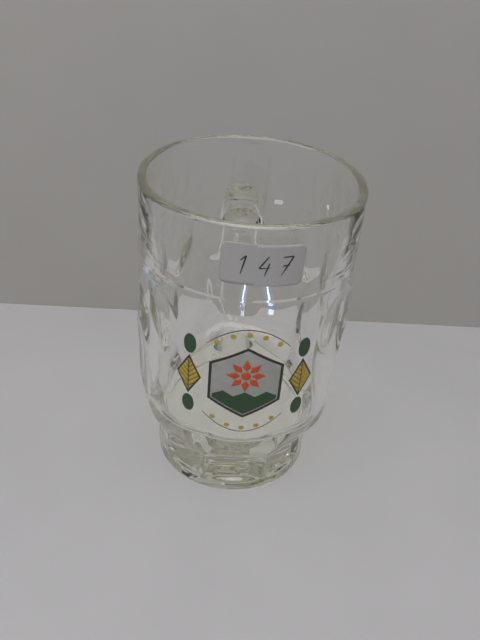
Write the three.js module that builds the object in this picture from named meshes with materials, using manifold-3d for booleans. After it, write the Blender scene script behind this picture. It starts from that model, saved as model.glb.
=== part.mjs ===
// A pressed-glass beer mug: cup with thumb-print hollows, ear handle, enamel print and paper label.
// Millimetres, +Z up. The cup stands on z = 0 with its axis on the Z axis.
// The print faces -Y and the handle points along +Y. Azimuth runs from -Y towards +X.
import * as THREE from "three";
import { mergeVertices } from "three/addons/utils/BufferGeometryUtils.js";
import Module from "manifold-3d";

const wasm = await Module();
wasm.setup();

// Heights of the cup: foot ring, narrow shank and bevel from the table up, rim band from the top down,
// the wall between them
const cupHeight = 125;
const footHeight = 5.5;
const shankHeight = 13;
const bevelHeight = 11.5;
const bandHeight = 26.8;

// Outer radii of the cup
const footRadius = 32;
const footEdge = 1.2;
const shankRadius = 32.4;
const bevelTopRadius = 39.6;
const bellyRadius = 40.9;
const shoulderRadius = 39.4;
const bellyAboveBevel = 32;

// Ring between wall and rim band, and the rim
const ringProud = 0.3;
const ringWidth = 1.8;
const ringCrown = 0.6;
const rimWall = 3.0;

// Cavity
const floorThickness = 32.5;
const floorCorner = 6;
const cavityFootRadius = 34.0;
const cavityRingRadius = 34.9;

// Flats round shank and bevel: one wide panel in front and narrower columns round the rest. Hollows above.
const frontPanel = 45;
const sideColumns = 9;
const facetRunOut = 10;
const facetFootRunOut = 1.5;
const lowerRowHeight = 39.5;
const rowNest = 2.5;
const upperRowMargin = 1.2;
const lowerRowDip = 9;
const hollowSag = 0.7;
const hollowRoundness = 16;
const upperPairs = 4;
const lowerPairs = 3;

// Handle: a strap with flared roots on two flat seats
const seatProud = 0.3;
const seatSkin = 1;
const upperSeatBelowRing = 11.2;
const lowerSeatBelowShankTop = 4;
const seatWidth = 19;
const seatHeight = 14;
const handleWidth = 15.5;
const handleThickness = 11;
const handleReach = 35;
const handleRise = 4;
const crestOut = 15;
const widestBelowSeat = 30;
const rootWidth = 18.4;
const rootHeight = 13.4;
const rootLength = 9;

// Enamel print and paper label
const inkGap = 0.2;
const inkThickness = 0.15;
const inkStep = 0.3;
const printAboveBevel = 35.5;
const panelHalfWidth = 13;
const panelHalfHeight = 15.5;
const panelShoulder = 8;
const panelLine = 1.0;
const panelMargin = 0.3;
const rosetteRadius = 6.9;
const rosetteInner = 4.1;
const rosettePoints = 8;
const groundDrop = 5.6;
const groundPeak = 2.2;
const groundPeaks = 3;
const lozengeOffset = 20.4;
const lozengeHalfWidth = 4.8;
const lozengeHalfHeight = 8.6;
const lozengeLine = 0.7;
const leafHalfWidth = 2.4;
const leafHalfHeight = 3.9;
const leafGap = 0.6;
const labelWidth = 27.7;
const labelHeight = 14.4;
const labelCorner = 2.2;
const labelThickness = 0.2;
const labelGap = 0.2;
const labelBelowRim = 13.2;
const labelTurn = 2.9;

// Mesh fineness
const roundSteps = 72;
const facetedSteps = 144;
const wallSteps = 12;
const roundingSteps = 4;
const floorCornerSteps = 6;
const labelCornerSteps = 8;
const scoopRoundSteps = 64;
const scoopTallSteps = 32;
const handleSteps = 34;
const handleSides = 9;

// Heights that follow
const shankTop = footHeight + shankHeight;
const wallFoot = shankTop + bevelHeight;
const rimZ = cupHeight;
const ringZ = rimZ - bandHeight;
const rowSplit = wallFoot + lowerRowHeight;
const printZ = wallFoot + printAboveBevel;
const halfPanel = (frontPanel / 2) * THREE.MathUtils.DEG2RAD;
const columnAngle = (2 * (Math.PI - halfPanel)) / sideColumns;

// The outer wall's radius between bevel and ring: widest at the belly, drawn in as a parabola both ways.
function wallRadiusAt(z) {
  const bellyZ = wallFoot + bellyAboveBevel;
  const above = z > bellyZ;
  const endZ = above ? ringZ - ringWidth / 2 : wallFoot;
  const endRadius = above ? shoulderRadius : bevelTopRadius;
  const share = (z - bellyZ) / (endZ - bellyZ);
  return bellyRadius - (bellyRadius - endRadius) * share * share;
}

// The wall's line from the top of the bevel up to the ring
function wallLine() {
  const points = [];
  for (let i = 0; i <= wallSteps; i++) {
    const z = wallFoot + ((ringZ - ringWidth / 2 - wallFoot) * i) / wallSteps;
    points.push(new THREE.Vector2(wallRadiusAt(z), z));
  }
  return points;
}

function arc(cx, cy, radius, from, to, steps) {
  const points = [];
  for (let i = 0; i <= steps; i++) {
    const a = from + ((to - from) * i) / steps;
    points.push(new THREE.Vector2(cx + radius * Math.cos(a), cy + radius * Math.sin(a)));
  }
  return points;
}

// Turns a profile round the Z axis, with azimuth 0 at -Y.
function turned(profile, steps = roundSteps) {
  return new THREE.LatheGeometry(profile, steps).rotateX(Math.PI / 2);
}

// Closed mesh to solid, with shared vertices merged and empty triangles dropped.
function solid(geometry) {
  const bare = new THREE.BufferGeometry();
  const whole = geometry.index ? geometry.toNonIndexed() : geometry;
  bare.setAttribute("position", whole.getAttribute("position").clone());
  const merged = mergeVertices(bare, 1e-4);
  const index = merged.index.array;
  const kept = [];
  for (let i = 0; i < index.length; i += 3) {
    const [a, b, c] = [index[i], index[i + 1], index[i + 2]];
    if (a !== b && b !== c && c !== a) kept.push(a, b, c);
  }
  return new wasm.Manifold(
    new wasm.Mesh({
      numProp: 3,
      vertProperties: merged.attributes.position.array,
      triVerts: new Uint32Array(kept),
    }),
  );
}

function geometryOf(body) {
  const mesh = body.getMesh();
  const geometry = new THREE.BufferGeometry();
  geometry.setAttribute("position", new THREE.BufferAttribute(mesh.vertProperties, 3));
  geometry.setIndex(new THREE.BufferAttribute(mesh.triVerts, 1));
  const flat = geometry.toNonIndexed();
  flat.computeVertexNormals();
  return flat;
}

// Share of the flat-sided section at a height: full round shank and bevel, none at the foot and on the wall.
function facetShare(z) {
  const fromFoot = (z - footHeight) / facetFootRunOut;
  const fromWall = (wallFoot + facetRunOut - z) / facetRunOut;
  return THREE.MathUtils.clamp(Math.min(fromFoot, fromWall), 0, 1);
}

// How far a flat lies inside the round section: the front panel's flat, or that of the nearest side column.
function flatFactor(azimuth) {
  const fromPanel = Math.abs(azimuth) - halfPanel;
  if (fromPanel < 0) return Math.cos(halfPanel) / Math.cos(azimuth);
  const off = fromPanel - (Math.floor(fromPanel / columnAngle) + 0.5) * columnAngle;
  return Math.cos(columnAngle / 2) / Math.cos(off);
}

// Draws the outer rings in from round section to flats.
function facetBevel(geometry) {
  const position = geometry.getAttribute("position");
  for (let i = 0; i < position.count; i++) {
    const [x, y, z] = [position.getX(i), position.getY(i), position.getZ(i)];
    const factor = 1 + facetShare(z) * (flatFactor(Math.atan2(x, -y)) - 1);
    position.setXY(i, x * factor, y * factor);
  }
  return geometry;
}

// Outside of the cup as a solid of turning: foot, shank, bevel, wall, ring, band, outer half of the rim.
function outerSolid() {
  const rimRound = rimWall / 2;
  const profile = [
    new THREE.Vector2(0, 0),
    new THREE.Vector2(footRadius - footEdge, 0),
    ...arc(footRadius - footEdge, footEdge, footEdge, -Math.PI / 4, 0, 1),
    new THREE.Vector2(footRadius, footHeight),
    new THREE.Vector2(shankRadius, footHeight + facetFootRunOut),
    new THREE.Vector2(shankRadius, shankTop),
    ...wallLine(),
    new THREE.Vector2(shoulderRadius + ringProud, ringZ - ringCrown / 2),
    new THREE.Vector2(shoulderRadius + ringProud, ringZ + ringCrown / 2),
    new THREE.Vector2(shoulderRadius, ringZ + ringWidth / 2),
    ...arc(shoulderRadius - rimRound, rimZ - rimRound, rimRound, 0, Math.PI / 2, roundingSteps),
    new THREE.Vector2(0, rimZ),
  ];
  return solid(facetBevel(turned(profile, facetedSteps)));
}

// The space inside the cup, with a rounded floor corner and the inner half of the rim.
function cavitySolid() {
  const rimRound = rimWall / 2;
  const rimMiddle = shoulderRadius - rimRound;
  const cornerRadius = cavityFootRadius - floorCorner;
  const cornerZ = floorThickness + floorCorner;
  const pastRim = 4;
  const profile = [
    new THREE.Vector2(0, floorThickness),
    ...arc(cornerRadius, cornerZ, floorCorner, -Math.PI / 2, 0, floorCornerSteps),
    new THREE.Vector2(cavityRingRadius, ringZ),
    ...arc(rimMiddle, rimZ - rimRound, rimRound, Math.PI, Math.PI / 2, roundingSteps),
    new THREE.Vector2(rimMiddle, rimZ + pastRim),
    new THREE.Vector2(0, rimZ + pastRim),
  ];
  return solid(turned(profile));
}

// One thumb-print hollow: the tip of an ellipsoid. Its edge meets the wall a column wide, from low to high.
function scoop(azimuth, low, high) {
  const middle = (low + high) / 2;
  const ridge = wallRadiusAt(middle);
  const halfWidth = ridge * Math.sin(columnAngle / 2);
  const chordDepth = ridge * (1 - Math.cos(columnAngle / 2));
  const depth = chordDepth + hollowSag;
  const across = 1 - hollowSag / hollowRoundness;
  const along = 1 - depth / hollowRoundness;
  const semiWidth = halfWidth / Math.sqrt(1 - across * across);
  const semiHeight = (high - low) / 2 / Math.sqrt(1 - along * along);
  const ball = new THREE.SphereGeometry(1, scoopRoundSteps, scoopTallSteps);
  ball.rotateX(Math.PI / 2);
  ball.scale(semiWidth, hollowRoundness, semiHeight);
  ball.translate(0, -(ridge - depth + hollowRoundness), middle);
  ball.rotateZ(azimuth);
  return solid(ball);
}

// Both rows of hollows, in pairs out from the handle. The rows stand half a column apart and both leave
// the front plain. The lower one also leaves the wall behind the handle plain.
function allScoops() {
  const scoops = [];
  for (const side of [-1, 1]) {
    for (let k = 0; k < upperPairs; k++) {
      const turn = Math.PI + side * (k + 0.5) * columnAngle;
      scoops.push(scoop(turn, rowSplit - rowNest, ringZ - upperRowMargin));
    }
    for (let k = 1; k <= lowerPairs; k++) {
      const turn = Math.PI + side * k * columnAngle;
      scoops.push(scoop(turn, wallFoot - lowerRowDip, rowSplit + rowNest));
    }
  }
  return scoops;
}

const upperSeatZ = ringZ - upperSeatBelowRing;
const lowerSeatZ = shankTop - lowerSeatBelowShankTop;
const seatedRadius = Math.max(
  wallRadiusAt(upperSeatZ - rootHeight / 2),
  wallRadiusAt(upperSeatZ + rootHeight / 2),
);
const seatPlane = seatedRadius + seatProud;
const seatFoot = shankRadius * Math.cos(columnAngle / 2) - seatSkin;

// A flat oval seat on the back of the cup, from just inside the shank's flat out to the seat plane.
function seat(z) {
  const oval = new THREE.Shape();
  oval.absellipse(0, 0, seatWidth / 2, seatHeight / 2, 0, 2 * Math.PI);
  const pad = new THREE.ExtrudeGeometry(oval, {
    depth: seatPlane - seatFoot,
    bevelEnabled: false,
    curveSegments: handleSides,
  });
  pad.rotateX(Math.PI / 2);
  pad.translate(0, seatPlane, z);
  return solid(pad);
}

function glassBody() {
  let body = outerSolid();
  for (const hollow of allScoops()) body = body.subtract(hollow);
  body = body.add(seat(upperSeatZ)).add(seat(lowerSeatZ));
  return geometryOf(body.subtract(cavitySolid()));
}

// A curve in the handle's plane that leaves one point in one direction and meets the next in another.
function bend(y0, z0, outY0, outZ0, y1, z1, inY1, inZ1) {
  return new THREE.CubicBezierCurve3(
    new THREE.Vector3(0, y0, z0),
    new THREE.Vector3(0, y0 + outY0, z0 + outZ0),
    new THREE.Vector3(0, y1 + inY1, z1 + inZ1),
    new THREE.Vector3(0, y1, z1),
  );
}

// The handle's centre line: up to the crest, round to the widest point and back in to the lower seat.
function handlePath() {
  const roundPull = 0.5523;
  const crestY = seatPlane + crestOut;
  const crestZ = upperSeatZ + handleRise;
  const outerY = seatPlane + handleReach - handleThickness / 2;
  const widestZ = upperSeatZ - widestBelowSeat;
  const path = new THREE.CurvePath();
  path.add(bend(seatPlane, upperSeatZ, crestOut / 2, 0, crestY, crestZ, -crestOut / 2, 0));
  const [runY, runZ] = [(outerY - crestY) * roundPull, (crestZ - widestZ) * roundPull];
  path.add(bend(crestY, crestZ, runY, 0, outerY, widestZ, 0, runZ));
  const [backY, backZ] = [(outerY - seatPlane) * roundPull, (widestZ - lowerSeatZ) * roundPull];
  path.add(bend(outerY, widestZ, 0, -backZ, seatPlane, lowerSeatZ, backY, 0));
  return path;
}

function glassHandle() {
  const section = new THREE.Shape();
  section.absellipse(0, 0, handleWidth / 2, handleThickness / 2, 0, 2 * Math.PI);
  const handle = new THREE.ExtrudeGeometry(section, {
    steps: handleSteps,
    extrudePath: handlePath(),
    curveSegments: handleSides,
    bevelEnabled: false,
  });
  flareRoots(handle);
  return geometryOf(solid(handle));
}

// Widens the strap towards both seats, and lays its two ends exactly on the seat plane.
function flareRoots(geometry) {
  const position = geometry.getAttribute("position");
  const nearSeat = 0.05;
  for (let i = 0; i < position.count; i++) {
    const y = position.getY(i);
    const z = position.getZ(i);
    const closeness = THREE.MathUtils.clamp(1 - (y - seatPlane) / rootLength, 0, 1);
    const flare = closeness * closeness;
    const rootZ = z > (upperSeatZ + lowerSeatZ) / 2 ? upperSeatZ : lowerSeatZ;
    const wide = 1 + flare * (rootWidth / handleWidth - 1);
    const tall = 1 + flare * (rootHeight / handleThickness - 1);
    position.setX(i, position.getX(i) * wide);
    position.setZ(i, rootZ + (z - rootZ) * tall);
    if (y < seatPlane + nearSeat) position.setY(i, seatPlane);
  }
}

// A thin skin round the whole cup, standing off the wall or the rim band by a gap.
function skin(line, gap, thickness) {
  const inside = line.map((p) => new THREE.Vector2(p.x + gap, p.y));
  const outside = line.map((p) => new THREE.Vector2(p.x + gap + thickness, p.y)).reverse();
  const profile = [...inside, ...outside, inside[0].clone()].reverse();
  return solid(turned(profile));
}

// Lays a flat outline, drawn as arc length and height, onto the front of a skin.
function laidOn(skinSolid, outline, radius, turn = 0) {
  const flatX = (s) => radius * Math.sin(s / radius);
  const flatPoint = (p) => new THREE.Vector2(flatX(p.x), p.y);
  const flatPoints = (path) => path.getPoints(labelCornerSteps).map(flatPoint);
  const flat = new THREE.Shape(flatPoints(outline));
  flat.holes = outline.holes.map((hole) => new THREE.Path(flatPoints(hole)));
  const block = new THREE.ExtrudeGeometry(flat, { depth: 2 * radius, bevelEnabled: false });
  block.rotateX(Math.PI / 2);
  block.rotateZ(turn);
  return geometryOf(skinSolid.intersect(solid(block)));
}

// A flat outline from its corners, moved sideways and up.
function polygon(points, offsetX, offsetY) {
  return new THREE.Shape(points.map(([x, y]) => new THREE.Vector2(x + offsetX, y + offsetY)));
}

// Half width, half height and shoulder height of the six-sided panel, taken in by an inset on every side
function panelSizes(inset) {
  const slope = (panelHalfHeight - panelShoulder) / panelHalfWidth;
  const tipDrop = inset * Math.hypot(1, slope);
  return [panelHalfWidth - inset, panelHalfHeight - tipDrop, panelShoulder - tipDrop + inset * slope];
}

function hexagon(inset) {
  const [halfWidth, halfHeight, shoulder] = panelSizes(inset);
  return [
    [0, halfHeight],
    [-halfWidth, shoulder],
    [-halfWidth, -shoulder],
    [0, -halfHeight],
    [halfWidth, -shoulder],
    [halfWidth, shoulder],
  ];
}

function lozenge(halfWidth, halfHeight) {
  return [
    [0, halfHeight],
    [-halfWidth, 0],
    [0, -halfHeight],
    [halfWidth, 0],
  ];
}

// Black outline of the six-sided panel
function panelOutline() {
  const outline = polygon(hexagon(0), 0, printZ);
  outline.holes.push(polygon(hexagon(panelLine).reverse(), 0, printZ));
  return outline;
}

// White ground inside the outline
function panelGround() {
  return polygon(hexagon(panelLine + panelMargin), 0, printZ);
}

// Star-shaped rosette, standing just clear of the peaks of the green field
function rosette() {
  const points = [];
  const centreZ = printZ - groundDrop + groundPeak + panelMargin + rosetteRadius;
  for (let i = 0; i < 2 * rosettePoints; i++) {
    const radius = i % 2 ? rosetteInner : rosetteRadius;
    const angle = Math.PI / 2 + (i * Math.PI) / rosettePoints;
    points.push([radius * Math.cos(angle), radius * Math.sin(angle)]);
  }
  return polygon(points, 0, centreZ);
}

// Green field in the lower half of the panel, with a row of low peaks on top
function greenField() {
  const [halfWidth, halfHeight, shoulder] = panelSizes(panelLine + 2 * panelMargin);
  const points = [
    [-halfWidth, -groundDrop],
    [-halfWidth, -shoulder],
    [0, -halfHeight],
    [halfWidth, -shoulder],
    [halfWidth, -groundDrop],
  ];
  const halfStep = halfWidth / groundPeaks;
  for (let i = 1; i < 2 * groundPeaks; i++) {
    points.push([halfWidth - i * halfStep, -groundDrop + (i % 2 ? groundPeak : 0)]);
  }
  return polygon(points, 0, printZ);
}

const ringTopZ = ringZ + ringWidth / 2;
const bandLine = [
  new THREE.Vector2(shoulderRadius, ringTopZ),
  new THREE.Vector2(shoulderRadius, rimZ - rimWall),
];
const firstInk = skin(wallLine(), inkGap, inkThickness);
const secondInk = skin(wallLine(), inkGap + inkStep, inkThickness);
const paper = skin(bandLine, labelGap, labelThickness);
const labelAzimuth = labelTurn * THREE.MathUtils.DEG2RAD;

function labelOutline() {
  const [w, h, r] = [labelWidth / 2, labelHeight / 2, labelCorner];
  const z = rimZ - labelBelowRim;
  const shape = new THREE.Shape();
  shape.moveTo(-w + r, z - h);
  shape.lineTo(w - r, z - h);
  shape.absarc(w - r, z - h + r, r, -Math.PI / 2, 0);
  shape.absarc(w - r, z + h - r, r, 0, Math.PI / 2);
  shape.absarc(-w + r, z + h - r, r, Math.PI / 2, Math.PI);
  shape.absarc(-w + r, z - h + r, r, Math.PI, 1.5 * Math.PI);
  return shape;
}

// Finishes
const clearGlass = { color: 0xdfe5dc, roughness: 0.05, metalness: 0, transparent: true, opacity: 0.35 };
const blackEnamel = { color: 0x1c1b19, roughness: 0.35, metalness: 0 };
const whiteEnamel = { color: 0xd3d5d4, roughness: 0.4, metalness: 0 };
const orangeEnamel = { color: 0xdf4f2b, roughness: 0.35, metalness: 0 };
const greenEnamel = { color: 0x1f5a3a, roughness: 0.35, metalness: 0 };
const goldEnamel = { color: 0xc5a12d, roughness: 0.4, metalness: 0 };
const greyPaper = { color: 0xb9b6b1, roughness: 0.7, metalness: 0 };

const group = new THREE.Group();

function addPart(name, geometry, finish) {
  const mesh = new THREE.Mesh(geometry, new THREE.MeshStandardMaterial(finish));
  mesh.name = name;
  group.add(mesh);
}

addPart("glass_body", glassBody(), clearGlass);
addPart("glass_handle", glassHandle(), clearGlass);
addPart("paper_label", laidOn(paper, labelOutline(), shoulderRadius, labelAzimuth), greyPaper);
addPart("print_panel_outline", laidOn(firstInk, panelOutline(), bellyRadius), blackEnamel);
addPart("print_panel_ground", laidOn(firstInk, panelGround(), bellyRadius), whiteEnamel);
addPart("print_rosette", laidOn(secondInk, rosette(), bellyRadius), orangeEnamel);
addPart("print_green_field", laidOn(secondInk, greenField(), bellyRadius), greenEnamel);

// A black lozenge with a gold one on it, between two green leaves, on either side of the panel
for (const [side, sign] of [["left", -1], ["right", 1]]) {
  const offset = sign * lozengeOffset;
  const outer = lozenge(lozengeHalfWidth, lozengeHalfHeight);
  const inner = lozenge(lozengeHalfWidth - lozengeLine, lozengeHalfHeight - 2 * lozengeLine);
  const leaf = lozenge(leafHalfWidth, leafHalfHeight);
  const leafRise = lozengeHalfHeight + leafGap + leafHalfHeight;
  const placed = (ink, points, rise) => laidOn(ink, polygon(points, offset, printZ + rise), bellyRadius);
  addPart("print_lozenge_" + side, placed(firstInk, outer, 0), blackEnamel);
  addPart("print_gold_" + side, placed(secondInk, inner, 0), goldEnamel);
  addPart("print_leaf_top_" + side, placed(firstInk, leaf, leafRise), greenEnamel);
  addPart("print_leaf_low_" + side, placed(firstInk, leaf, -leafRise), greenEnamel);
}

export default group;
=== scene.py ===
import math

import bpy
import numpy as np
from mathutils import Matrix, Quaternion, Vector
from mathutils.geometry import delaunay_2d_cdt


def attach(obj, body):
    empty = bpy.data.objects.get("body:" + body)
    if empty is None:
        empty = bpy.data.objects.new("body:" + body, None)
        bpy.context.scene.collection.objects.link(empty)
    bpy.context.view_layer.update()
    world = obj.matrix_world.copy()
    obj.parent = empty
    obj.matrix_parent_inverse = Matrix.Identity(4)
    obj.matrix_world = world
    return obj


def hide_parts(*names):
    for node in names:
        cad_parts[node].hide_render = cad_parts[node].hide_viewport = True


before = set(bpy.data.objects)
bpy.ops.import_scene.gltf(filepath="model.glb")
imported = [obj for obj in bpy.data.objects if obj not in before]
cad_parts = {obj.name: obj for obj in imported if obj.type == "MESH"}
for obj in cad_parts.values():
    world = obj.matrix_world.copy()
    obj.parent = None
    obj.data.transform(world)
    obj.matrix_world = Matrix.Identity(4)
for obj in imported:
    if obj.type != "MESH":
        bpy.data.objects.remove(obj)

mm = 0.001
fullTurn = 2 * math.pi


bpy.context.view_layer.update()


# Helpers

def linear(hexColour):
    shares = [int(hexColour[i:i + 2], 16) / 255 for i in (1, 3, 5)]
    return [c / 12.92 if c < 0.0405 else ((c + 0.055) / 1.055) ** 2.4 for c in shares] + [1.0]


def shaded(colour, share):
    return [min(1.0, c * share) for c in colour[:3]] + [1.0]


def turned(x, y, angle):
    return x * math.cos(angle) - y * math.sin(angle), x * math.sin(angle) + y * math.cos(angle)


def addNode(material, kind, settings=None, links=None):
    node = material.node_tree.nodes.new(kind)
    for name, value in (settings or {}).items():
        if isinstance(name, int) or name in node.inputs:
            node.inputs[name].default_value = value
        else:
            setattr(node, name, value)
    for name, source in (links or {}).items():
        material.node_tree.links.new(source, node.inputs[name])
    return node


def newMaterial(name):
    material = bpy.data.materials.new(name)
    material.use_nodes = True
    material.node_tree.nodes.clear()
    return material


def meshFrom(name, points, faces, material):
    mesh = bpy.data.meshes.new(name)
    mesh.from_pydata((np.asarray(points, float) * mm).tolist(), [], faces)
    mesh.validate()
    mesh.update()
    mesh.polygons.foreach_set("use_smooth", [True] * len(mesh.polygons))
    mesh.materials.append(material)
    piece = bpy.data.objects.new(name, mesh)
    bpy.context.scene.collection.objects.link(piece)
    return piece


def keep(piece, nodes):
    # A piece with no nodes is finer detail that the solids leave out
    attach(piece, "root")
    if nodes:
        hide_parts(*nodes)


def softened(values, sigma, axis, wrap):
    # Gaussian blur along one axis; sigma is in grid steps
    reach = int(math.ceil(3 * sigma))
    weights = np.exp(-0.5 * (np.arange(-reach, reach + 1) / sigma) ** 2)
    weights /= weights.sum()
    if wrap:
        return sum(w * np.roll(values, i - reach, axis) for i, w in enumerate(weights))
    padding = [(0, 0)] * values.ndim
    padding[axis] = (reach, reach)
    padded = np.pad(values, padding, mode="edge")
    length = values.shape[axis]
    return sum(w * np.take(padded, range(i, i + length), axis) for i, w in enumerate(weights))


# Materials

def clearGlass():
    # Pressed soda-lime glass, fire-polished: clear, and olive where the light runs far through it
    glass = newMaterial("pressed soda-lime glass")
    surface = addNode(glass, "ShaderNodeBsdfPrincipled", {
        "Base Color": linear("#FFFFFF"), "Roughness": 0.0, "IOR": 1.52, "Transmission Weight": 1.0})
    # Shadow rays pass with a faint loss, so the mug throws a soft pale shadow
    passing = addNode(glass, "ShaderNodeBsdfTransparent", {"Color": linear("#FBFCFA")})
    light = addNode(glass, "ShaderNodeLightPath")
    mixed = addNode(glass, "ShaderNodeMixShader", links={
        0: light.outputs["Is Shadow Ray"], 1: surface.outputs[0], 2: passing.outputs[0]})
    tint = addNode(glass, "ShaderNodeVolumeAbsorption", {"Color": linear("#D7D5B5"), "Density": 6.5})
    addNode(glass, "ShaderNodeOutputMaterial", links={
        "Surface": mixed.outputs[0], "Volume": tint.outputs[0]})
    return glass


def firedEnamel(name, hexColour, roughness):
    # Screen-printed glass enamel, fired: dense colour, a glassy skin and a faint grain from the screen
    enamel = newMaterial(name)
    place = addNode(enamel, "ShaderNodeTexCoord")
    cloud = addNode(enamel, "ShaderNodeTexNoise", {"Scale": 1 / (3.0 * mm), "Detail": 3.0},
                    {"Vector": place.outputs["Object"]})
    colour = linear(hexColour)
    ramp = addNode(enamel, "ShaderNodeValToRGB", links={0: cloud.outputs["Fac"]})
    ramp.color_ramp.elements[0].position = 0.3
    ramp.color_ramp.elements[1].position = 0.7
    ramp.color_ramp.elements[0].color = shaded(colour, 0.9)
    ramp.color_ramp.elements[1].color = shaded(colour, 1.06)
    # Mesh of the printing screen, really 0.1 mm, drawn at 0.25 mm so that a close view shows it
    grain = addNode(enamel, "ShaderNodeTexNoise", {"Scale": 1 / (0.25 * mm), "Detail": 2.0},
                    {"Vector": place.outputs["Object"]})
    bump = addNode(enamel, "ShaderNodeBump", {"Strength": 0.25, "Distance": 0.02 * mm},
                   {"Height": grain.outputs["Fac"]})
    surface = addNode(enamel, "ShaderNodeBsdfPrincipled", {"Roughness": roughness, "IOR": 1.52},
                      {"Base Color": ramp.outputs["Color"], "Normal": bump.outputs["Normal"]})
    addNode(enamel, "ShaderNodeOutputMaterial", links={"Surface": surface.outputs[0]})
    return enamel


def labelPaper():
    # Uncoated label paper: matt grey-white, with soft fibres
    paper = newMaterial("uncoated label paper")
    place = addNode(paper, "ShaderNodeTexCoord")
    fibre = addNode(paper, "ShaderNodeTexNoise", {
        "Scale": 1 / (0.5 * mm), "Detail": 6.0, "Roughness": 0.65}, {"Vector": place.outputs["Object"]})
    ramp = addNode(paper, "ShaderNodeValToRGB", links={0: fibre.outputs["Fac"]})
    ramp.color_ramp.elements[0].position = 0.35
    ramp.color_ramp.elements[1].position = 0.65
    ramp.color_ramp.elements[0].color = linear("#979594")
    ramp.color_ramp.elements[1].color = linear("#9F9D9A")
    bump = addNode(paper, "ShaderNodeBump", {"Strength": 0.3, "Distance": 0.03 * mm},
                   {"Height": fibre.outputs["Fac"]})
    surface = addNode(paper, "ShaderNodeBsdfPrincipled", {"Roughness": 0.75, "IOR": 1.5},
                      {"Base Color": ramp.outputs["Color"], "Normal": bump.outputs["Normal"]})
    addNode(paper, "ShaderNodeOutputMaterial", links={"Surface": surface.outputs[0]})
    return paper


def penInk():
    # Ball-pen ink: near black, a little shiny where it lies thick
    ink = newMaterial("ball-pen ink")
    place = addNode(ink, "ShaderNodeTexCoord")
    pressure = addNode(ink, "ShaderNodeTexNoise", {"Scale": 1 / (1.2 * mm), "Detail": 2.0},
                       {"Vector": place.outputs["Object"]})
    ramp = addNode(ink, "ShaderNodeValToRGB", links={0: pressure.outputs["Fac"]})
    ramp.color_ramp.elements[0].color = linear("#17181A")
    ramp.color_ramp.elements[1].color = linear("#2F3034")
    surface = addNode(ink, "ShaderNodeBsdfPrincipled", {"Roughness": 0.4, "IOR": 1.5},
                      {"Base Color": ramp.outputs["Color"]})
    addNode(ink, "ShaderNodeOutputMaterial", links={"Surface": surface.outputs[0]})
    return ink


glass = clearGlass()
whiteEnamel = firedEnamel("white fired enamel", "#93948F", 0.35)
blackEnamel = firedEnamel("black fired enamel", "#23231F", 0.3)
orangeEnamel = firedEnamel("orange fired enamel", "#B44320", 0.32)
greenEnamel = firedEnamel("green fired enamel", "#1E4023", 0.32)
goldEnamel = firedEnamel("gold-yellow fired enamel", "#A78F33", 0.35)
paper = labelPaper()
ink = penInk()
print("materials made")


# The glass cup

# Corners of the turned outside are (radius, height), and the rows of hollows (low end, high end)
cup = {
    "footRadius": 32.0, "footEdge": 1.2, "footTop": 5.5,
    "shankFoot": (32.4, 7.0), "shankTop": (32.4, 18.5), "bevelTop": (39.6, 30.0),
    "belly": (40.9, 62.0), "shoulder": (39.4, 97.3),
    "ring": 98.2, "ringProud": 0.13, "ringHalfWidth": 0.8, "rim": 125.0, "rimWall": 3.0,
    "floor": 32.5, "floorCorner": 6.0, "floorCrown": 0.25,
    "cavityFoot": 34.0, "cavityRing": 34.9, "cavitySoftness": 2.0,
    "frontPanel": math.radians(45), "sideColumns": 9,  # one wide plain panel, then nine narrower columns
    "facetFootRunOut": 1.5, "facetRunOut": 10.0,  # lengths in which the flats fade into the round
    "upperRow": (67.0, 97.0), "lowerRow": (21.0, 72.0), "upperPairs": 4, "lowerPairs": 3,
    "hollowSag": 0.7, "hollowRound": 16.0,
    "edgeSoftness": 1.2, "footSoftness": 0.35,  # fire polishing rounds every pressed edge
    "softBelow": 22.0, "softOver": 6.0,  # below this height the foot gets crisper, over this length
    "bevelRounding": 3.5,
    "recess": 0.5, "standingRing": (27.0, 29.0),  # the cup stands on a ring round a shallow hollow
    "ripple": 0.05,  # unevenness left by the plunger inside
    "rippleFade": (20.0, 30.0),
    "waves": ((3, 41.0, 0.4), (5, 23.0, 1.9), (8, 31.0, 4.1), (13, 17.0, 2.7)),  # count, length, shift
    "stepsRound": 360, "stepHeight": 0.5, "innerStep": 1.5, "middleSteps": 12,
}
halfColumn = (fullTurn - cup["frontPanel"]) / cup["sideColumns"] / 2


def wallRadius(z):
    # Widest at the belly, drawn in as a parabola both ways
    bellyRadius, bellyZ = cup["belly"]
    endRadius = np.where(z > bellyZ, cup["shoulder"][0], cup["bevelTop"][0])
    endZ = np.where(z > bellyZ, cup["shoulder"][1], cup["bevelTop"][1])
    share = (z - bellyZ) / (endZ - bellyZ)
    return bellyRadius - (bellyRadius - endRadius) * share ** 2


def plainRadius(z):
    # The turned outside, before facets and hollows
    corners = [(cup["footRadius"], 0), (cup["footRadius"], cup["footTop"]), cup["shankFoot"],
               cup["shankTop"], cup["bevelTop"]]
    low = np.interp(z, [c[1] for c in corners], [c[0] for c in corners])
    wall = np.where(z < cup["shoulder"][1], wallRadius(z), cup["shoulder"][0])
    line = np.where(z < cup["bevelTop"][1], low, wall)
    rounded = softened(line, cup["bevelRounding"] / cup["stepHeight"], 1, False)
    return np.where(z > cup["softBelow"], rounded, line)


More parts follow.
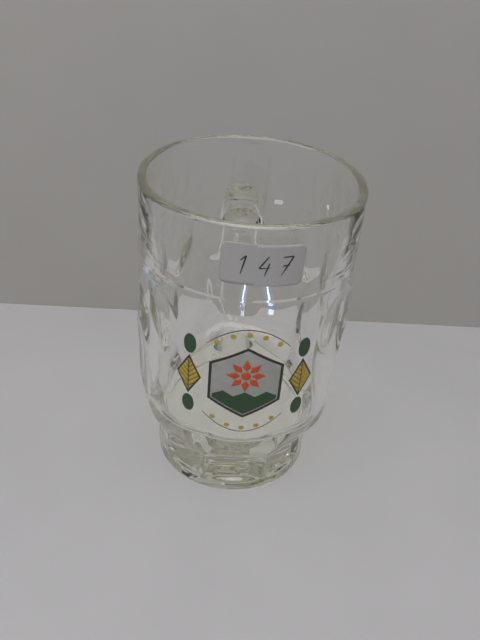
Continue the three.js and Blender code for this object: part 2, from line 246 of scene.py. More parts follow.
def hollowRadius(azimuth, z, centre, row):
    # Where a ray from the axis meets the ellipsoid that pressed this hollow
    low, high = row
    middle, rounding = (low + high) / 2, cup["hollowRound"]
    ridge = float(wallRadius(np.array(middle)))
    depth = ridge * (1 - math.cos(halfColumn)) + cup["hollowSag"]
    across, along = 1 - cup["hollowSag"] / rounding, 1 - depth / rounding
    semiWidth = ridge * math.sin(halfColumn) / math.sqrt(1 - across ** 2)
    semiHeight = (high - low) / 2 / math.sqrt(1 - along ** 2)
    away = ridge - depth + rounding
    turn = azimuth - centre
    a = (np.cos(turn) / rounding) ** 2 + (np.sin(turn) / semiWidth) ** 2
    b = -2 * away * np.cos(turn) / rounding ** 2
    c = (away / rounding) ** 2 + ((z - middle) / semiHeight) ** 2 - 1
    root = b * b - 4 * a * c
    near = (-b - np.sqrt(np.maximum(root, 0))) / (2 * a)
    return np.where((root > 0) & (np.cos(turn) > 0.5), near, np.inf)


gridAzimuth = np.arange(cup["stepsRound"]) * fullTurn / cup["stepsRound"]
gridZ = np.arange(0.0, cup["rim"] + 0.01, cup["stepHeight"])


def outerGrid():
    azimuth, z = np.meshgrid(gridAzimuth, gridZ, indexing="ij")
    plain = plainRadius(z)
    fromBack, halfPanel = np.abs(azimuth - math.pi), cup["frontPanel"] / 2
    off = fromBack - np.round(fromBack / (2 * halfColumn)) * 2 * halfColumn
    flat = np.where(fromBack > math.pi - halfPanel, math.cos(halfPanel) / np.cos(math.pi - fromBack),
                    math.cos(halfColumn) / np.cos(off))
    fromFoot = (z - cup["footTop"]) / cup["facetFootRunOut"]
    fromWall = (cup["bevelTop"][1] + cup["facetRunOut"] - z) / cup["facetRunOut"]
    share = np.clip(np.minimum(fromFoot, fromWall), 0, 1)
    radius = plain * (1 + share * (flat - 1))
    # The rows stand half a column apart, on both sides of the handle
    turns = [((2 * k + 1) * halfColumn, cup["upperRow"]) for k in range(cup["upperPairs"])]
    turns += [(2 * k * halfColumn, cup["lowerRow"]) for k in range(1, cup["lowerPairs"] + 1)]
    for turn, row in turns:
        for centre in (math.pi - turn, math.pi + turn):
            radius = np.minimum(radius, hollowRadius(azimuth, z, centre, row))
    low = np.clip((cup["softBelow"] - z) / cup["softOver"], 0, 1)
    soft, crisp = polished(radius, cup["edgeSoftness"]), polished(radius, cup["footSoftness"])
    radius = (1 - low) * soft + low * crisp
    bead = np.clip(1 - np.abs(z - cup["ring"]) / cup["ringHalfWidth"], 0, 1)
    return radius + cup["ringProud"] * (0.5 - 0.5 * np.cos(math.pi * bead))


def polished(radius, softness):
    stepArc = cup["shoulder"][0] * fullTurn / cup["stepsRound"]
    return softened(softened(radius, softness / stepArc, 0, True), softness / cup["stepHeight"], 1, False)


outerRadius = outerGrid()


def outerAt(azimuth, z):
    # Radius of the finished outside at any place, read between grid points
    column = (azimuth % fullTurn) / fullTurn * cup["stepsRound"]
    row = np.clip(z / cup["stepHeight"], 0, len(gridZ) - 1.001)
    c0, r0 = np.floor(column).astype(int), np.floor(row).astype(int)
    c, r = column - c0, row - r0
    c0, c1 = c0 % cup["stepsRound"], (c0 + 1) % cup["stepsRound"]
    lower = outerRadius[c0, r0] * (1 - c) + outerRadius[c1, r0] * c
    upper = outerRadius[c0, r0 + 1] * (1 - c) + outerRadius[c1, r0 + 1] * c
    return lower * (1 - r) + upper * r


def rippleAt(azimuth, z):
    total = sum(np.sin(n * azimuth + fullTurn * z / length + shift) / (1 + i)
                for i, (n, length, shift) in enumerate(cup["waves"]))
    return cup["ripple"] * total


def arcPoints(radius, height, size, start, end, steps):
    angles = np.linspace(start, end, steps + 1)
    return [(radius + size * math.cos(a), height + size * math.sin(a)) for a in angles]


def evenRing(radius, z):
    return np.full(cup["stepsRound"], float(radius)), float(z)


def cupRings():
    # Rings of (radius, z) from the middle of the underside, up the outside and over the rim to the floor
    steps, rings = cup["middleSteps"], []
    hollowEnd, ringMiddle = cup["standingRing"]
    for share in np.linspace(0.05, 1, steps):
        rings.append(evenRing(hollowEnd * share, cup["recess"] * (1 + math.cos(math.pi * share)) / 2))
    rings.append(evenRing(ringMiddle, 0))
    edge = cup["footEdge"]
    for radius, z in arcPoints(cup["footRadius"] - edge, edge, edge, -math.pi / 2, 0, 6)[:-1]:
        rings.append(evenRing(radius, z))
    rimRound = cup["rimWall"] / 2
    for i, z in enumerate(gridZ):
        if edge <= z <= cup["rim"] - rimRound:
            rings.append((outerRadius[:, i], z))
    middle = cup["shoulder"][0] - rimRound
    for radius, z in arcPoints(middle, cup["rim"] - rimRound, rimRound, 0, math.pi, 14)[1:]:
        rings.append(evenRing(radius, z))
    corner, cornerTop = cup["floorCorner"], cup["floor"] + cup["floorCorner"]
    inner = softenedCavity()
    for z in np.arange(cup["rim"] - rimRound - cup["innerStep"], cornerTop, -cup["innerStep"]):
        rings.append((np.interp(z, *inner) + rippleAt(gridAzimuth, z), z))
    fadeEnd, fadeStart = cup["rippleFade"]
    for radius, z in arcPoints(cup["cavityFoot"] - corner, cornerTop, corner, 0, -math.pi / 2, 18):
        blend = np.clip((radius - fadeEnd) / (fadeStart - fadeEnd), 0, 1)
        rings.append((radius + blend * rippleAt(gridAzimuth, z), z))
    for share in np.linspace(0.93, 0.05, steps):
        height = cup["floor"] + cup["floorCrown"] * (1 - share ** 2)
        rings.append(evenRing((cup["cavityFoot"] - corner) * share, height))
    return rings


def softenedCavity():
    # Heights and radii of the cavity's wall, with the bend at the ring made soft
    heights = np.arange(cup["floor"], cup["rim"] + 5, cup["stepHeight"])
    rimInner = cup["shoulder"][0] - cup["rimWall"]
    bends = [cup["floor"] + cup["floorCorner"], cup["ring"], cup["rim"] - cup["rimWall"] / 2]
    radii = np.interp(heights, bends, [cup["cavityFoot"], cup["cavityRing"], rimInner])
    return heights, softened(radii, cup["cavitySoftness"] / cup["stepHeight"], 0, False)


def innerRadius(z):
    # Radius of the space inside the cup at a height, nothing below the floor
    corner, cornerTop = cup["floorCorner"], cup["floor"] + cup["floorCorner"]
    below = np.clip(cornerTop - z, 0, corner)
    rounded = cup["cavityFoot"] - corner + np.sqrt(corner ** 2 - below ** 2)
    upward = np.where(z < cornerTop, rounded, np.interp(z, *softenedCavity()))
    return np.where(z < cup["floor"], 0, upward)


def makeCup():
    rings = cupRings()
    count = cup["stepsRound"]
    sine, cosine = np.sin(gridAzimuth), np.cos(gridAzimuth)
    points = [np.column_stack([radius * sine, -radius * cosine, np.full(count, z)])
              for radius, z in rings]
    points = np.vstack(points + [[[0, 0, cup["recess"]]], [[0, 0, cup["floor"] + cup["floorCrown"]]]])
    under, over = len(rings) * count, len(rings) * count + 1
    faces = []
    for i in range(len(rings) - 1):
        for j in range(count):
            k = (j + 1) % count
            faces.append((i * count + j, i * count + k, (i + 1) * count + k, (i + 1) * count + j))
    last = (len(rings) - 1) * count
    for j in range(count):
        k = (j + 1) % count
        faces.append((under, k, j))
        faces.append((last + j, last + k, over))
    return meshFrom("mugGlass", points, faces, glass)


# The glass handle, drawn out of the same glass

handle = {
    "seat": 40.84, "upper": 87.0, "lower": 14.5,  # distance of the roots from the axis, and their heights
    "rise": 4.0, "crestOut": 15.0, "widestBelow": 30.0, "reach": 35.0,
    "width": 15.5, "thick": 11.0,
    "rootWidth": 18.4, "rootHeight": 13.4, "rootLength": 9.0,
    "fillet": 0.5, "filletLength": 1.2,
    "rootInside": 29.5, "rootSkin": 0.9, "rootDraw": 0.6,  # the roots run on into the cup's wall
    "pull": 0.5523,  # makes a quarter of an ellipse from a Bezier curve
    "steps": 44, "rootSteps": 16, "sides": 64,
}


def bezier(ends, count):
    t = np.linspace(0, 1, count + 1)[:, None]
    a, b, c, d = np.array(ends, float)
    return (1 - t) ** 3 * a + 3 * (1 - t) ** 2 * t * b + 3 * (1 - t) * t ** 2 * c + t ** 3 * d


def handlePath():
    h = handle
    seat, upper, lower = h["seat"], h["upper"], h["lower"]
    crest = (seat + h["crestOut"], upper + h["rise"])
    outer = (seat + h["reach"] - h["thick"] / 2, upper - h["widestBelow"])
    half = h["crestOut"] / 2
    runY, runZ = (outer[0] - crest[0]) * h["pull"], (crest[1] - outer[1]) * h["pull"]
    backY, backZ = (outer[0] - seat) * h["pull"], (outer[1] - lower) * h["pull"]
    toCrest = [(seat, upper), (seat + half, upper), (crest[0] - half, crest[1]), crest]
    toOuter = [crest, (crest[0] + runY, crest[1]), (outer[0], outer[1] + runZ), outer]
    toSeat = [outer, (outer[0], outer[1] - backZ), (seat + backY, lower), (seat, lower)]
    first, second, third = [bezier(ends, h["steps"]) for ends in (toCrest, toOuter, toSeat)]
    inward = np.linspace(h["rootInside"] - h["rootDraw"], seat, h["rootSteps"])[:-1]
    entry = [(y, upper) for y in inward]
    leaving = [(y, lower) for y in inward[::-1]]
    return np.vstack([entry, first, second[1:], third[1:], leaving])


def makeHandle():
    h = handle
    path = handlePath()
    along = np.gradient(path, axis=0)
    along /= np.linalg.norm(along, axis=1)[:, None]
    across = np.column_stack([-along[:, 1], along[:, 0]])
    turn = np.arange(h["sides"]) * fullTurn / h["sides"]
    rings = []
    for i, (y, z) in enumerate(path):
        x = h["width"] / 2 * np.cos(turn)
        lift = h["thick"] / 2 * np.sin(turn)
        ringY, ringZ = y + across[i, 0] * lift, z + across[i, 1] * lift
        off = np.maximum(ringY - h["seat"], 0)
        flare = np.clip(1 - off / h["rootLength"], 0, 1) ** 2
        fillet = h["fillet"] * np.clip(1 - off / h["filletLength"], 0, 1) ** 2
        rootZ = np.where(ringZ > (h["upper"] + h["lower"]) / 2, h["upper"], h["lower"])
        wide = 1 + flare * (h["rootWidth"] / h["width"] - 1) + fillet / (h["width"] / 2)
        tall = 1 + flare * (h["rootHeight"] / h["thick"] - 1) + fillet / (h["thick"] / 2)
        x, ringZ = x * wide, rootZ + (ringZ - rootZ) * tall
        # The roots end inside the wall, short of the cavity
        inside = np.maximum(h["rootInside"], innerRadius(ringZ) + h["rootSkin"])
        end = np.sqrt(np.maximum(inside ** 2 - x ** 2, 0))
        ringY = np.maximum(ringY, end)
        rings.append(np.column_stack([x, ringY, ringZ]))
    count, points = h["sides"], np.vstack(rings)
    faces = []
    for i in range(len(rings) - 1):
        for j in range(count):
            k = (j + 1) % count
            faces.append((i * count + j, (i + 1) * count + j, (i + 1) * count + k, i * count + k))
    faces.append(tuple(range(count)))
    faces.append(tuple(range((len(rings) - 1) * count, len(rings) * count))[::-1])
    return meshFrom("handleGlass", points, faces, glass)


def joinHandle(body, ear):
    # One melt: the handle's roots run on into the cup's wall with no face between them
    union = body.modifiers.new("fused", "BOOLEAN")
    union.operation, union.solver, union.object = "UNION", "MANIFOLD", ear
    bpy.context.view_layer.update()
    fused = bpy.data.meshes.new_from_object(body.evaluated_get(bpy.context.evaluated_depsgraph_get()))
    body.modifiers.clear()
    body.data = fused
    bpy.data.objects.remove(ear)
    fused.polygons.foreach_set("use_smooth", [True] * len(fused.polygons))
    return body


mugGlass = joinHandle(makeCup(), makeHandle())
keep(mugGlass, ["glass_body", "glass_handle"])
print("glass made:", len(mugGlass.data.polygons), "faces")


# Thin layers laid on the glass

def layer(name, outlines, height, thickness, material, step=0.8, azimuth=0.0):
    # Outlines are lists of (arc length, z) at the belly's radius; each becomes a thin closed sheet
    points, faces = [], []
    for outline in outlines:
        addSheet(points, faces, outline, height, thickness, step, azimuth)
    return meshFrom(name, points, faces, material)


def addSheet(points, faces, outline, height, thickness, step, azimuth):
    # Cuts an outline, with its holes if it has any, into triangles; adds both sides and the rim between
    loops = outline if isinstance(outline[0][0], (list, tuple)) else [outline]
    border, edges = [], []
    for loop in loops:
        start = len(border)
        ring = densified(loop, step)
        border += ring
        edges += [(start + i, start + (i + 1) % len(ring)) for i in range(len(ring))]
    low, high = np.min(border, axis=0), np.max(border, axis=0)
    inner = [(s, z) for s in np.arange(low[0] + step / 2, high[0], step)
             for z in np.arange(low[1] + step / 2, high[1], step)]
    flat = [Vector(q) for q in border + inner]
    made, _, triangles, *_ = delaunay_2d_cdt(flat, edges, [], 2, 1e-6)
    flatPoints = np.array([(q.x, q.y) for q in made])
    centres = [flatPoints[list(t)].mean(axis=0) for t in triangles]
    kept = [tuple(t) for t, c in zip(triangles, centres) if insideLoops(c, loops)]
    used = sorted({i for t in kept for i in t})
    place = {old: new for new, old in enumerate(used)}
    flatPoints = flatPoints[used]
    kept = [tuple(place[i] for i in t) for t in kept]
    turn = flatPoints[:, 0] / cup["belly"][0] + azimuth
    base = outerAt(turn, flatPoints[:, 1]) + height
    first, size = len(points), len(flatPoints)
    for rise in (0, thickness):
        radius = base + rise
        points.extend(zip(radius * np.sin(turn), -radius * np.cos(turn), flatPoints[:, 1]))
    seen = {}
    for a, b, c in kept:
        (ax, ay), (bx, by), (cx, cy) = flatPoints[a], flatPoints[b], flatPoints[c]
        if (bx - ax) * (cy - ay) - (by - ay) * (cx - ax) < 0:
            b, c = c, b
        faces.append((first + size + a, first + size + b, first + size + c))
        faces.append((first + c, first + b, first + a))
        seen.update(dict.fromkeys(((a, b), (b, c), (c, a))))
    for a, b in seen:  # edges with one triangle are the border, and get a rim
        if (b, a) not in seen:
            faces.append((first + a, first + b, first + size + b, first + size + a))


def divided(start, end, pieces):
    # Points on the way from one place to another, without the last
    across, up = end[0] - start[0], end[1] - start[1]
    return [(start[0] + across * n / pieces, start[1] + up * n / pieces) for n in range(pieces)]


def densified(loop, step):
    ring = []
    for i, start in enumerate(loop):
        end = loop[(i + 1) % len(loop)]
        ring += divided(start, end, max(1, int(math.ceil(math.dist(start, end) / step))))
    return ring


def insideLoops(point, loops):
    x, y = point
    inside = False
    for loop in loops:
        for i, (x0, y0) in enumerate(loop):
            x1, y1 = loop[(i + 1) % len(loop)]
            if (y0 > y) != (y1 > y) and x < x0 + (x1 - x0) * (y - y0) / (y1 - y0):
                inside = not inside
    return inside


# A made-up design: hexagon with a rosette over hills, a lozenge of grains at each side, rows of beads
enamelPrint = {
    "middle": 65.5, "halfWidth": 13.0, "halfHeight": 15.5, "shoulder": 8.0, "line": 1.0, "margin": 0.3,
    "rosette": 6.9, "rosetteInner": 4.1, "petals": 8, "petalGap": 0.35, "petalFoot": 0.9, "eye": 1.7,
    "groundDrop": 5.6, "groundPeak": 2.2, "peaks": 3,
    "lozengeOffset": 20.4, "lozenge": (4.8, 8.6), "lozengeLine": 0.7,  # lozenge and leaf are half sizes
    "grainRows": 7, "grainGap": 0.34, "grainSlant": 0.9, "smallestGrain": 0.25,
    "leaf": (2.4, 3.9), "leafGap": 0.6,
    "beads": 5, "bead": 1.0, "beadStep": 5.4, "beadRise": 20.6, "beadBow": 0.035,
    "rule": 0.35, "ruleGap": 1.9, "ruleReach": 14.58,
    "lift": 0.03, "thick": 0.06, "secondLift": 0.1,  # inks lie in two coats
    "groundLift": 0.015, "groundThick": 0.048, "groundLap": 0.1,
}
p = enamelPrint


def hexagon(inset):
    slope = (p["halfHeight"] - p["shoulder"]) / p["halfWidth"]
    drop = inset * math.hypot(1, slope)
    w, h, s = p["halfWidth"] - inset, p["halfHeight"] - drop, p["shoulder"] - drop + inset * slope
    return [(x, p["middle"] + z) for x, z in ((0, h), (-w, s), (-w, -s), (0, -h), (w, -s), (w, s))]


def lozengeAt(offset, rise, halfWidth, halfHeight):
    z = p["middle"] + rise
    return [(offset, z + halfHeight), (offset - halfWidth, z),
            (offset, z - halfHeight), (offset + halfWidth, z)]


def discAt(x, z, radius, sides):
    turns = np.linspace(0, fullTurn, sides + 1)[:-1]
    return [(x + radius * math.cos(t), z + radius * math.sin(t)) for t in turns]


def leafAt(offset, rise, halfWidth, halfHeight):
    # Two bowed sides that meet in points
    bow = [(math.sin(t) ** 0.9, math.cos(t)) for t in np.linspace(0, math.pi, 13)]
    left = [(offset - halfWidth * x, p["middle"] + rise + halfHeight * z) for x, z in bow]
    right = [(offset + halfWidth * x, p["middle"] + rise + halfHeight * z) for x, z in bow[1:-1][::-1]]
    return left + right


def clipped(polygon, corners):
    # What is left of a polygon inside a convex outline that runs anticlockwise
    for i, (ax, ay) in enumerate(corners):
        bx, by = corners[(i + 1) % len(corners)]
        sides = [(bx - ax) * (y - ay) - (by - ay) * (x - ax) for x, y in polygon]
        kept = []
        for j, q in enumerate(polygon):
            following = (j + 1) % len(polygon)
            r, here, there = polygon[following], sides[j], sides[following]
            if here >= 0:
                kept.append(q)
            if (here >= 0) != (there >= 0):
                share = here / (here - there)
                kept.append((q[0] + (r[0] - q[0]) * share, q[1] + (r[1] - q[1]) * share))
        polygon = kept
        if len(polygon) < 3:
            return []
    return polygon


def areaOf(polygon):
    return abs(sum(a[0] * b[1] - b[0] * a[1] for a, b in zip(polygon, polygon[1:] + polygon[:1]))) / 2


def goldGrains(offset):
    # Rows of slanted grains, parted by the black ground
    halfWidth, halfHeight = p["lozenge"][0] - p["lozengeLine"], p["lozenge"][1] - 2 * p["lozengeLine"]
    frameCorners = lozengeAt(offset, 0, halfWidth, halfHeight)
    rowHeight, gap, grains = 2 * halfHeight / p["grainRows"], p["grainGap"], []
    rise = halfWidth * p["grainSlant"]
    for row in range(-2, p["grainRows"] + 1):
        low = p["middle"] - halfHeight + row * rowHeight + gap / 2
        high = low + rowHeight - gap
        for sign in (-1, 1):
            near, far = offset + sign * gap / 2, offset + sign * halfWidth
            slanted = [(near, low), (far, low + rise), (far, high + rise), (near, high)]
            grain = clipped(slanted, frameCorners)
            if len(grain) > 2 and areaOf(grain) > p["smallestGrain"]:
                grains.append(grain)
    return grains


def rosettePetals():
    # Eight pointed petals round an eye, parted by thin white lines
    centre = p["middle"] - p["groundDrop"] + p["groundPeak"] + p["margin"] + p["rosette"]
    half, gap, inner = math.pi / p["petals"], p["petalGap"] / 2, p["rosetteInner"]
    foot = gap / math.sin(half) + p["eye"] * p["petalFoot"]
    petals = []
    for k in range(p["petals"]):
        middle = math.pi / 2 + 2 * half * k
        petal = []
        # Distance, angle and inward shift of each corner; the side corners leave the gap between petals
        corners = ((foot, 0, 0), (inner, half, gap), (p["rosette"], 0, 0), (inner, -half, -gap))
        for reach, turn, shift in corners:
            sine, cosine = math.sin(middle + turn), math.cos(middle + turn)
            petal.append((reach * cosine + shift * sine, centre + reach * sine - shift * cosine))
        petals.append(petal)
    return petals + [discAt(0, centre, p["eye"], 24)]


def greenGround():
    # Hills that fill the foot of the hexagon
    inset = p["line"] + 2 * p["margin"]
    corners = hexagon(inset)
    halfWidth, shoulder = p["halfWidth"] - inset, corners[4][1]
    top = p["middle"] - p["groundDrop"]
    outline = [(-halfWidth, top), (-halfWidth, shoulder), corners[3],
               (halfWidth, shoulder), (halfWidth, top)]
    half = halfWidth / p["peaks"]
    for i in range(1, 2 * p["peaks"]):
        outline.append((halfWidth - i * half, top + (p["groundPeak"] if i % 2 else 0)))
    return outline


def beadRow(side):
    # Gold beads in a shallow arc over the panel, or under it
    places = [(k - (p["beads"] - 1) / 2) * p["beadStep"] for k in range(p["beads"])]
    return [discAt(x, p["middle"] + side * (p["beadRise"] - p["beadBow"] * x * x), p["bead"], 16)
            for x in places]


def ruleLine(side):
    # A fine black line that runs along a row of beads
    xs = np.linspace(-p["ruleReach"], p["ruleReach"], 25)
    heights = [p["middle"] + side * (p["beadRise"] + p["ruleGap"] - p["beadBow"] * x * x) for x in xs]
    lower = [(x, z - p["rule"] / 2) for x, z in zip(xs, heights)]
    return lower + [(x, z + p["rule"] / 2) for x, z in zip(xs, heights)][::-1]


def printPieces():
    leafRise = p["lozenge"][1] + p["leafGap"] + p["leaf"][1]
    sides = (-p["lozengeOffset"], p["lozengeOffset"])
    lift, second, thick = p["lift"], p["secondLift"], p["thick"]
    black = [[hexagon(0), hexagon(p["line"])]] + [lozengeAt(s, 0, *p["lozenge"]) for s in sides]
    black += [ruleLine(side) for side in (-1, 1)]
    leaves = [leafAt(s, rise, *p["leaf"]) for s in sides for rise in (leafRise, -leafRise)]
    keep(layer("panelOutline", black, lift, thick, blackEnamel),
         ["print_panel_outline", "print_lozenge_left", "print_lozenge_right"])
    ground = [hexagon(p["line"] - p["groundLap"])]
    keep(layer("panelGround", ground, p["groundLift"], p["groundThick"], whiteEnamel),
         ["print_panel_ground"])
    keep(layer("orangeRosette", rosettePetals(), second, thick, orangeEnamel),
         ["print_rosette"])
    keep(layer("greenLand", [greenGround()], second, thick, greenEnamel),
         ["print_green_field"])
    keep(layer("greenLeaves", leaves, lift, thick, greenEnamel),
         ["print_leaf_top_left", "print_leaf_top_right", "print_leaf_low_left", "print_leaf_low_right"])
    grains = [grain for s in sides for grain in goldGrains(s)]
    keep(layer("goldBeads", beadRow(-1) + beadRow(1), lift, thick, goldEnamel, 0.5), [])
    keep(layer("goldGrains", grains, second, thick, goldEnamel),
         ["print_gold_left", "print_gold_right"])


printPieces()
print("enamel print laid on")


# Paper label with a plain number written by pen

label = {
    "width": 27.7, "height": 14.4, "corner": 2.2, "middle": 111.8,
    "turn": math.radians(2.9), "tilt": math.radians(-1.2), "lift": 0.03, "thick": 0.12,
    "digits": "147", "digitHeight": 6.6, "digitStep": 0.98, "firstDigit": -8.2, "slant": 0.2,
    "penWidth": 0.55, "inkLift": 0.02,
}
# Pen strokes in a box 1 high: each digit has its strokes as lists of points
digitStrokes = {
    "1": [[(0.02, 0.72), (0.22, 1.0), (0.22, 0.0)]],
    "4": [[(0.3, 1.0), (0.0, 0.36), (0.52, 0.4)], [(0.42, 0.66), (0.38, -0.04)]],
    "7": [[(0.0, 0.96), (0.5, 1.0), (0.2, 0.0)], [(0.12, 0.5), (0.46, 0.54)]],
}


def onLabel(points):
    # The label was stuck on a little askew
    tilted = [turned(x, z, label["tilt"]) for x, z in points]
    return [(x, z + label["middle"]) for x, z in tilted]


def labelOutline():
    w, h, r = label["width"] / 2, label["height"] / 2, label["corner"]
    outline = []
    corners = ((w - r, -h + r, -90), (w - r, h - r, 0), (-w + r, h - r, 90), (-w + r, -h + r, 180))
    for cx, cz, start in corners:
        angles = [math.radians(start + a) for a in range(0, 91, 15)]
        outline += [(cx + r * math.cos(a), cz + r * math.sin(a)) for a in angles]
    return onLabel(outline)


def strokeOutline(points, width):
    # A ribbon round a pen stroke, with ends drawn to a blunt point
    points = np.array(densePath(points, 0.25))
    along = np.gradient(points, axis=0)
    along /= np.linalg.norm(along, axis=1)[:, None]
    side = np.column_stack([-along[:, 1], along[:, 0]])
    share = np.linspace(0, 1, len(points))
    # The pen presses hardest early in the stroke and lifts towards its end
    pressed = 0.55 + 0.45 * np.sin(math.pi * np.clip(share * 1.15, 0, 1)) ** 0.5
    half = (width / 2 * pressed)[:, None]
    return [tuple(q) for q in points + side * half], [tuple(q) for q in points - side * half]


def densePath(points, step):
    # More points along a stroke, with its corners rubbed round
    path = []
    for start, end in zip(points, points[1:]):
        path += divided(start, end, max(2, int(math.dist(start, end) / step)))
    path.append(points[-1])
    for _ in range(3):
        path = [path[0]] + [((a[0] + 2 * b[0] + c[0]) / 4, (a[1] + 2 * b[1] + c[1]) / 4)
                            for a, b, c in zip(path, path[1:], path[2:])] + [path[-1]]
    return path


def penNumber():
    points, faces = [], []
    height, pen = label["digitHeight"], label["firstDigit"]
    radius = cup["shoulder"][0] + label["lift"] + label["thick"] + label["inkLift"]
    for digit in label["digits"]:
        for stroke in digitStrokes[digit]:
            placed = [(pen + (x + label["slant"] * y) * height, (y - 0.5) * height) for x, y in stroke]
            left, right = strokeOutline(onLabel(placed), label["penWidth"])
            first, count = len(points), len(left)
            for s, z in left + right:
                turn = s / cup["shoulder"][0] + label["turn"]
                points.append((radius * math.sin(turn), -radius * math.cos(turn), z))
            for i in range(first, first + count - 1):
                faces.append((i, i + count, i + count + 1, i + 1))
        pen += height * label["digitStep"]
    return meshFrom("penNumber", points, faces, ink)


sticker = layer("numberLabel", [labelOutline()], label["lift"], label["thick"], paper, 1.0, label["turn"])
keep(sticker, ["paper_label"])
keep(penNumber(), [])
print("label made")


# Table, wall and camera. The camera stands a little to the left of the print, and the rest turns with it.

shot = {
    "turn": math.radians(-4.9), "distance": 210.75, "height": 211.27,
    "pitch": math.radians(34.99), "roll": math.radians(4.98), "yaw": math.radians(-0.086),
    "focal": 650.65, "frame": (480, 640), "sensor": 36.0,  # focal length in pixels, sensor in mm
    "table": "#A3A2A2", "tableReach": 1500, "tableZ": -0.1,
    "wall": "#A09D99", "wallLeft": (-136.0, 87.0), "wallRight": (140.0, 105.0),  # two places on its foot
    "wallReach": 1200, "wallFoot": -5, "wallTop": 1000,
}


def paintedSurface(name, hexColour, mottle):
    # Matt paint and matt laminate: plain, with soft uneven patches a few centimetres wide
    surfaceMaterial = newMaterial(name)
    place = addNode(surfaceMaterial, "ShaderNodeTexCoord")
    patches = addNode(surfaceMaterial, "ShaderNodeTexNoise", {"Scale": 1 / (60 * mm), "Detail": 5.0},
                      {"Vector": place.outputs["Object"]})
    ramp = addNode(surfaceMaterial, "ShaderNodeValToRGB", links={0: patches.outputs["Fac"]})
    ramp.color_ramp.elements[0].position = 0.3
    ramp.color_ramp.elements[1].position = 0.7
    colour = linear(hexColour)
    ramp.color_ramp.elements[0].color = shaded(colour, 1 - mottle)
    ramp.color_ramp.elements[1].color = shaded(colour, 1 + mottle)
    surface = addNode(surfaceMaterial, "ShaderNodeBsdfPrincipled", {"Roughness": 0.6, "IOR": 1.45},
                      {"Base Color": ramp.outputs["Color"]})
    # Seen from behind, the surface isn't there, so it never hides the mug
    facing = addNode(surfaceMaterial, "ShaderNodeNewGeometry")
    clear = addNode(surfaceMaterial, "ShaderNodeBsdfTransparent")
    mixed = addNode(surfaceMaterial, "ShaderNodeMixShader", links={
        0: facing.outputs["Backfacing"], 1: surface.outputs[0], 2: clear.outputs[0]})
    addNode(surfaceMaterial, "ShaderNodeOutputMaterial", links={"Surface": mixed.outputs[0]})
    return surfaceMaterial


def makeStage():
    reach, z = shot["tableReach"], shot["tableZ"]
    corners = [(-reach, -reach, z), (reach, -reach, z), (reach, reach, z), (-reach, reach, z)]
    laminate = paintedSurface("matt laminate table", shot["table"], 0.03)
    table = meshFrom("table", corners, [(0, 1, 2, 3)], laminate)
    left = Vector(turned(*shot["wallLeft"], shot["turn"]))
    right = Vector(turned(*shot["wallRight"], shot["turn"]))
    run = (right - left).normalized() * shot["wallReach"]
    start, end = (left + right) / 2 - run, (left + right) / 2 + run
    foot, top = shot["wallFoot"], shot["wallTop"]
    corners = [(*start, foot), (*end, foot), (*end, top), (*start, top)]
    wall = meshFrom("wall", corners, [(0, 1, 2, 3)],
                    paintedSurface("matt painted wall", shot["wall"], 0.02))


def makeCamera():
    pitch, roll, yaw = shot["pitch"], shot["roll"], shot["yaw"]
    ahead = Vector((math.sin(yaw) * math.cos(pitch), math.cos(yaw) * math.cos(pitch), -math.sin(pitch)))
    right = Vector((math.cos(yaw), -math.sin(yaw), 0))
    up = right.cross(ahead)
    leaning = right * math.cos(roll) + up * math.sin(roll)
    upright = up * math.cos(roll) - right * math.sin(roll)
    lens = bpy.data.cameras.new("camera")
    lens.sensor_width = shot["sensor"]
    lens.lens = shot["focal"] / shot["frame"][1] * shot["sensor"]
    lens.clip_start = 0.01
    camera = bpy.data.objects.new("camera", lens)
    bpy.context.scene.collection.objects.link(camera)
    axes = Matrix((leaning, upright, -ahead)).transposed()
    spin = Matrix.Rotation(shot["turn"], 3, "Z")
    place = spin @ Vector((0, -shot["distance"], shot["height"])) * mm
    camera.matrix_world = Matrix.Translation(place) @ (spin @ axes).to_4x4()
    bpy.context.scene.camera = camera


room = {"colour": "#F4F5F8", "strength": 0.42}
ceiling = {"place": (-150, -250, 1000), "aim": (0, 0, 60), "size": (1400, 1400),
           "watts": 15.5, "colour": "#FDFCFF"}
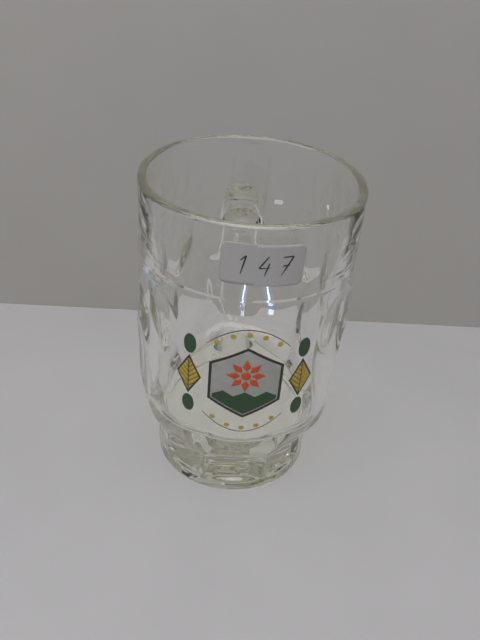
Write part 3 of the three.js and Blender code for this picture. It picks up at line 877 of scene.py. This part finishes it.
# Two tall windows with blue sky round them, as the glass mirrors them. Each stands close to the spot that
# it lights, so it shows there alone. The low pair shows under the ring, which breaks the streaks.
# The lean turns a window in its own plane, in radians.
reflections = {
    "windowLeft": {"place": (0.2, -50, 95.0), "aim": (0, -39.4, 101.7), "size": (0.7, 7.4), "lean": -0.2,
                   "watts": 0.00046, "colour": "#C8DEFF"},
    "windowRight": {"place": (13, -49.5, 94.5), "aim": (7.8, -38.6, 101.7), "size": (0.9, 7.4),
                    "lean": 0.5, "watts": 0.00065, "colour": "#C8DEFF"},
    "skyLeft": {"place": (0.2, -50, 95.0), "aim": (0, -39.4, 101.7), "size": (3.6, 9.5), "lean": -0.2,
                "watts": 0.0003, "colour": "#4E93D8"},
    "skyRight": {"place": (13, -49.5, 94.5), "aim": (7.8, -38.6, 101.7), "size": (4.2, 9.5), "lean": 0.5,
                 "watts": 0.0004, "colour": "#4E93D8"},
    "windowLeftLow": {"place": (0.6, -49.3, 89.1), "aim": (0.2, -39.6, 94.8), "size": (1.7, 1.5),
                      "watts": 0.00009, "colour": "#B4D2FF"},
    "windowRightLow": {"place": (14.1, -46.9, 89.7), "aim": (9.3, -38.5, 95.3), "size": (2.4, 1.5),
                       "watts": 0.0002, "colour": "#B4D2FF"},
    "skySide": {"place": (-40.8, -16.8, 86.7), "aim": (-32.5, -22.0, 93.7), "size": (2.0, 9.0),
                "watts": 0.00008, "colour": "#3C86C8"},
    "windowBack": {"place": (5.7, 25.3, 97.2), "aim": (10.8, 33.3, 100.2), "size": (1.7, 2.0),
                   "watts": 0.00005, "colour": "#FFF8EC"},
}


def makeLamp(name, place, aim, size, watts, colour, lean=0.0):
    light = bpy.data.lights.new(name, "AREA")
    light.shape, light.size, light.size_y = "RECTANGLE", size[0] * mm, size[1] * mm
    light.energy, light.color = watts, linear(colour)[:3]
    lamp = bpy.data.objects.new(name, light)
    place, aim = [Vector((*turned(*spot[:2], shot["turn"]), spot[2])) for spot in (place, aim)]
    lamp.location = place * mm
    lamp.rotation_mode = "QUATERNION"
    lamp.rotation_quaternion = (aim - place).to_track_quat("-Z", "Y") @ Quaternion((0, 0, 1), lean)
    # Glass shows a lamp as a glint on its face and never as a hot spot seen through it
    lamp.visible_transmission = False
    bpy.context.scene.collection.objects.link(lamp)
    return lamp


def makeLight():
    makeLamp("ceiling", **ceiling)
    for name, settings in reflections.items():
        window = makeLamp(name, **settings)
        window.visible_diffuse = window.visible_camera = False
    world = bpy.data.worlds.new("room")
    bpy.context.scene.world = world
    world.use_nodes = True
    background = world.node_tree.nodes["Background"]
    background.inputs["Color"].default_value = linear(room["colour"])
    background.inputs["Strength"].default_value = room["strength"]


makeStage()
makeCamera()
makeLight()
bpy.context.scene.view_settings.view_transform = "Standard"
# Light runs a long way round inside a glass rim before it gets out
bpy.context.scene.cycles.max_bounces = 32
bpy.context.scene.cycles.transmission_bounces = 32
bpy.context.scene.cycles.glossy_bounces = 16
print("stage, camera and light set")
